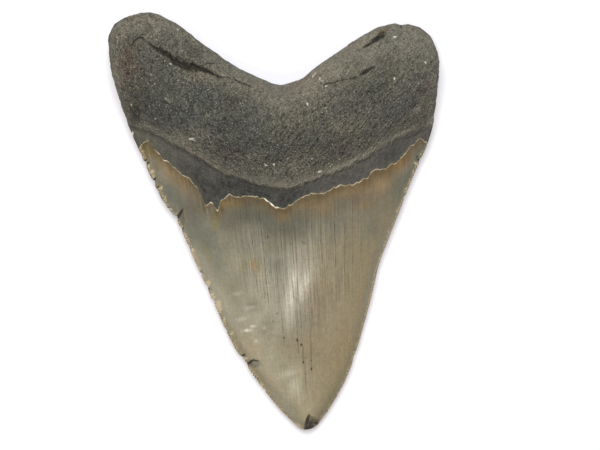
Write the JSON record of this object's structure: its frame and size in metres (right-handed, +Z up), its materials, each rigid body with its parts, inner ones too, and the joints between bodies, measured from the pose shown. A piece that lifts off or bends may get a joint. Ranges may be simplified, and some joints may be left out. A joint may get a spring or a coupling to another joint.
{
  "type": "megalodon tooth",
  "caption": "Large triangular fossil shark tooth with finely serrated cutting edges, a dark chevron band and a thick lobed root, lying on its flat face.",
  "frame": {"origin": "bottom centre of the tooth's box, on the surface that the tooth lies on", "axes": "+Y from the tip towards the root, +Z up out of the curved (lingual) face, X across the tooth"},
  "size_m": [0.0972, 0.1234, 0.024],
  "materials": {
    "fossil_tooth": "fossilised: semi-gloss olive-grey enamel on the crown, smooth dark grey band above it, matt grained dark root"
  },
  "bodies": {
    "root": {"tooth": "fossil_tooth"}
  },
  "joints": []
}
